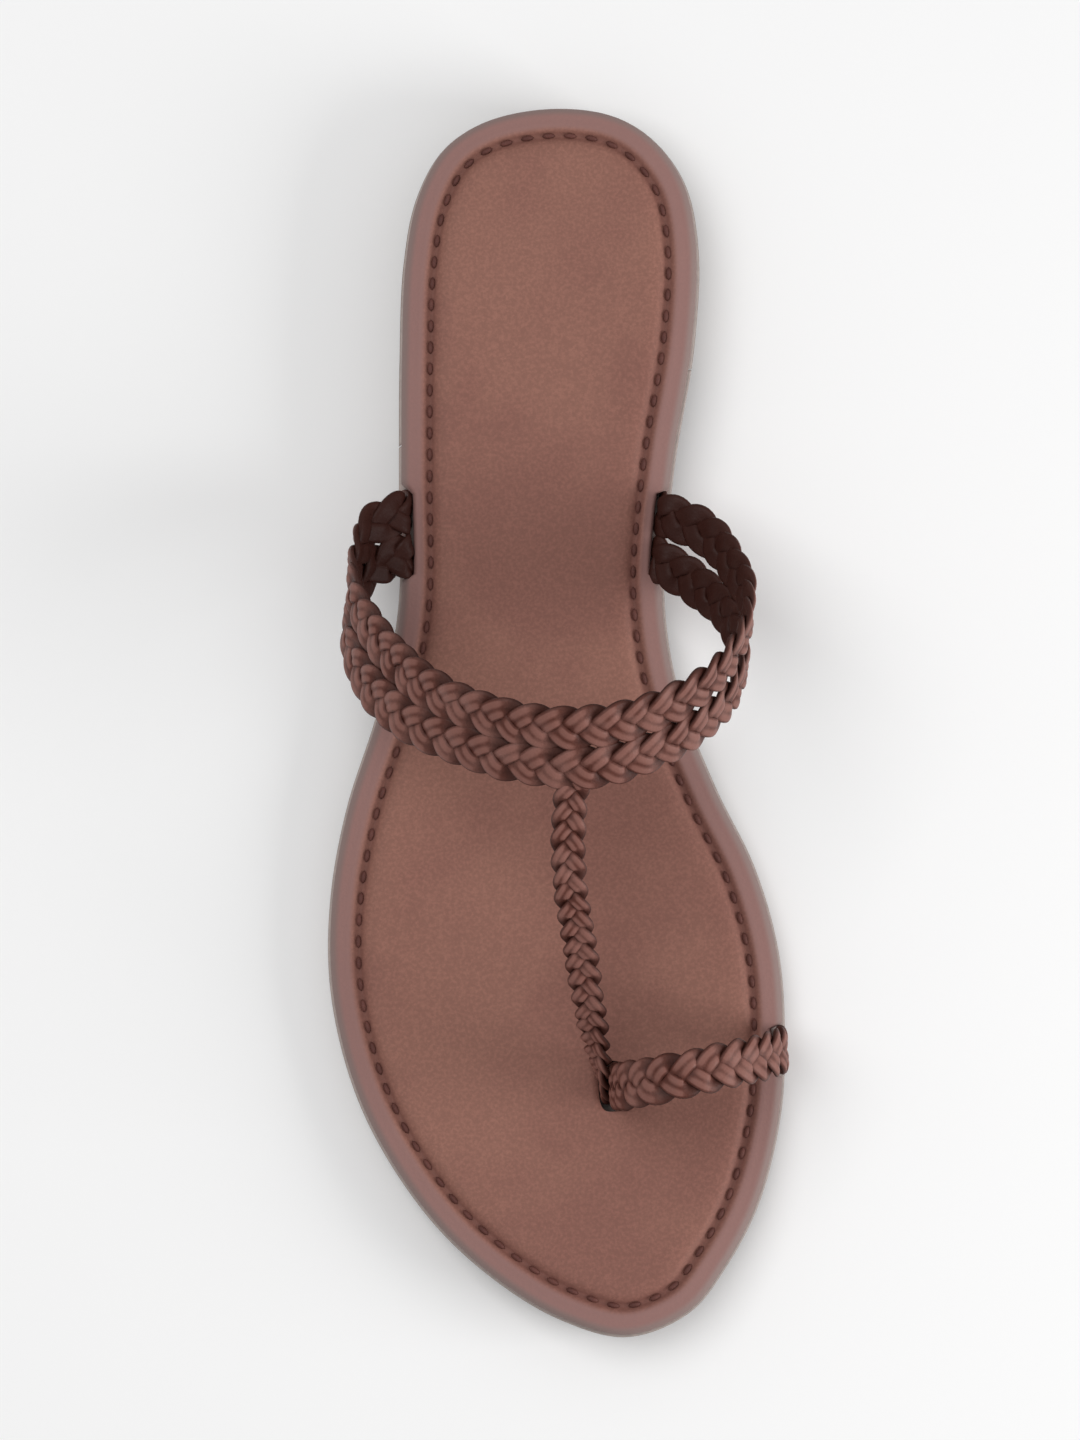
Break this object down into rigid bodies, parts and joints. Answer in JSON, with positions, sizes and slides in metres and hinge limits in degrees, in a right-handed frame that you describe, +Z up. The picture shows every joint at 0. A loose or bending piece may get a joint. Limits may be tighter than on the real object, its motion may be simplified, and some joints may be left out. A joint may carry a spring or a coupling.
{
  "type": "sandal",
  "caption": "Flat braided sandal with an instep band, a T-strap to a toe post, a big-toe loop, a padded footbed and a low block heel.",
  "frame": {"origin": "middle of the sandal's outline on the floor plane it stands on", "axes": "+Z up, -Y towards the toe, +X towards the inner side of the foot"},
  "size_m": [0.0924, 0.2512, 0.0684],
  "materials": {
    "outsole": "satin grey-brown moulded runner",
    "heel": "satin grey-brown heel block",
    "heel_lift": "matt dark brown top piece",
    "footbed": "matt medium brown leather with fine grain",
    "upper": "satin dark brown braided leather"
  },
  "bodies": {
    "root": {"outsole": "outsole", "heel": "heel", "heel_lift": "heel_lift", "footbed": "footbed", "upper": "upper"}
  },
  "joints": []
}
